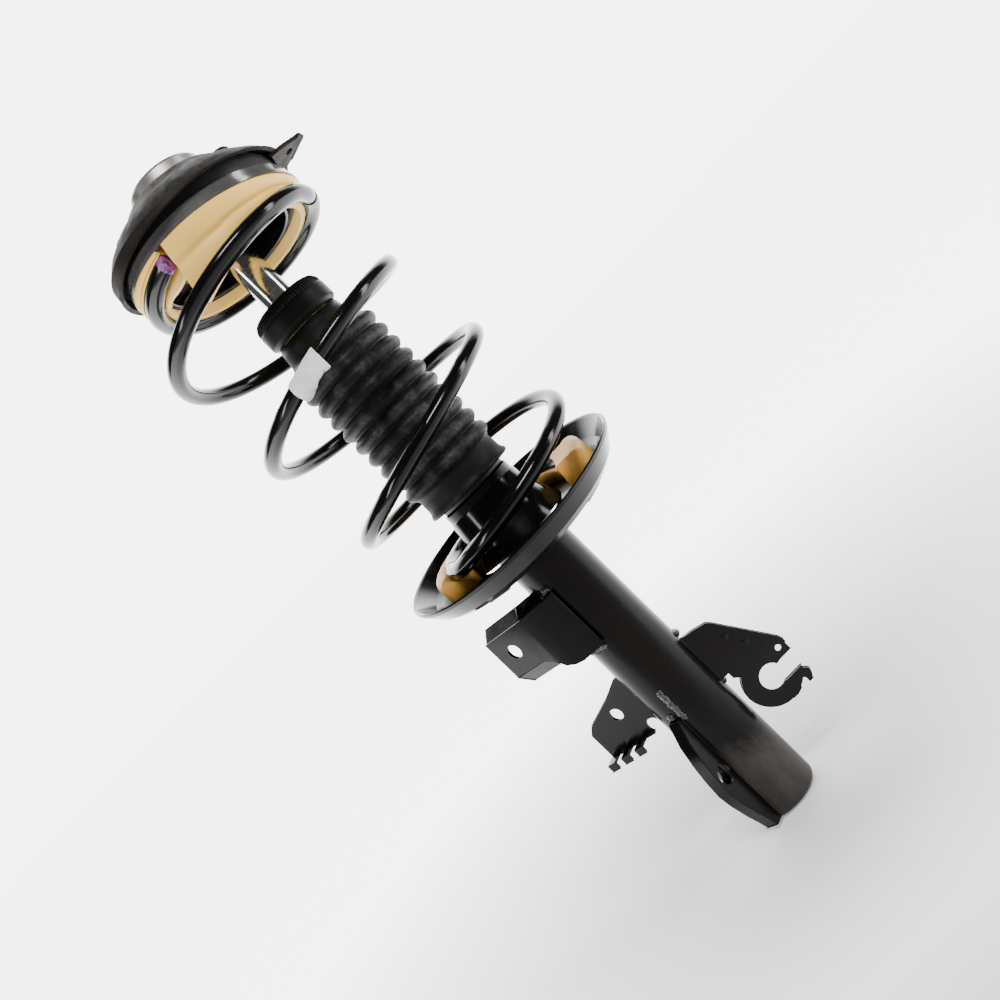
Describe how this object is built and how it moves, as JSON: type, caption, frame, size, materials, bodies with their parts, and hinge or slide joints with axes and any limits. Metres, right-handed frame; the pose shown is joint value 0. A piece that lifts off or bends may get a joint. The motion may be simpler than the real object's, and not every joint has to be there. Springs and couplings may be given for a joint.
{
  "type": "strut assembly",
  "caption": "Front suspension strut: coil spring over a telescopic damper, with bellows boot, welded brackets and a bearing top mount.",
  "frame": {"origin": "centre of the damper tube's closed lower end", "axes": "+Z along the piston rod towards the top mount, +X towards the hose bracket, -Y towards the front"},
  "size_m": [0.1855, 0.1802, 0.5912],
  "materials": {
    "tube_paint": "satin",
    "base_metal": "matte",
    "seat_paint": "gloss",
    "bracket_paint": "satin",
    "mount_paint": "satin",
    "spring_paint": "gloss",
    "weld_metal": "satin",
    "inner_steel": "satin",
    "bearing_steel": "polished",
    "zinc_steel": "satin",
    "rod_chrome": "polished",
    "boot_rubber": "matte",
    "cap_plastic": "matte",
    "bump_foam": "matte",
    "seal_rubber": "matte",
    "ring_plastic": "matte",
    "insulator_beige": "matte",
    "insulator_orange": "matte",
    "label_paper": "matte"
  },
  "bodies": {
    "damper": {"damper_tube": "tube_paint", "tube_base": "base_metal", "pressure_cylinder": "inner_steel", "base_valve": "inner_steel", "rod_guide": "inner_steel", "rod_seal": "seal_rubber", "tube_end_cap": "tube_paint", "lower_spring_seat": "seat_paint", "lower_insulator": "insulator_orange", "coil_spring": "spring_paint", "spring_label": "label_paper", "link_bracket": "bracket_paint", "sensor_bracket": "bracket_paint", "hose_bracket": "bracket_paint", "locating_fin": "bracket_paint", "weld_beads": "weld_metal", "dust_boot": "boot_rubber"},
    "boot_top": {"boot_cap": "cap_plastic", "bump_stop": "bump_foam"},
    "spring_perch": {"upper_spring_seat": "seat_paint", "upper_insulator": "insulator_beige", "bearing_lower_race": "bearing_steel", "bearing_seal": "seal_rubber"},
    "cage": {"ball_cage": "ring_plastic", "bearing_balls": "bearing_steel"},
    "top_mount": {"bearing_upper_race": "bearing_steel", "mount_plate": "mount_paint", "mount_rubber": "seal_rubber", "mount_cup": "zinc_steel", "bolt_bosses": "zinc_steel"},
    "rod": {"piston_rod": "rod_chrome", "piston": "inner_steel", "piston_ring": "ring_plastic", "piston_nut": "zinc_steel", "rebound_stop": "inner_steel", "mount_inner_sleeve": "inner_steel", "rod_washer": "zinc_steel", "rod_nut": "zinc_steel"}
  },
  "joints": [
    {"name": "strut_stroke", "type": "slide", "parent": "damper", "child": "spring_perch", "axis": [0, 0, 1], "range_m": [-0.1, 0], "stiffness_N_per_m": 28000, "springref_m": 0.06, "deforming": ["coil_spring", "spring_label"]},
    {"name": "boot_travel", "type": "slide", "parent": "damper", "child": "boot_top", "axis": [0, 0, 1], "range_m": [-0.055, 0], "deforming": ["dust_boot"]},
    {"name": "steering_swivel", "type": "hinge", "parent": "spring_perch", "child": "top_mount", "pos_m": [0, 0, 0.56], "axis": [0.0896, 0.1478, 0.9849], "range_deg": [-40, 40]},
    {"name": "cage_turn", "type": "hinge", "parent": "spring_perch", "child": "cage", "pos_m": [0, 0, 0.56], "axis": [0.0896, 0.1478, 0.9849], "range_deg": [-20, 20]},
    {"name": "rod_turn", "type": "hinge", "parent": "spring_perch", "child": "rod", "pos_m": [0, 0, 0.56], "axis": [0, 0, 1], "range_deg": [-40, 40]}
  ],
  "couplings": [
    {"joint": "boot_travel", "follows": "strut_stroke", "ratio": 0.55},
    {"joint": "cage_turn", "follows": "steering_swivel", "ratio": 0.5},
    {"joint": "rod_turn", "follows": "steering_swivel", "ratio": 1}
  ]
}
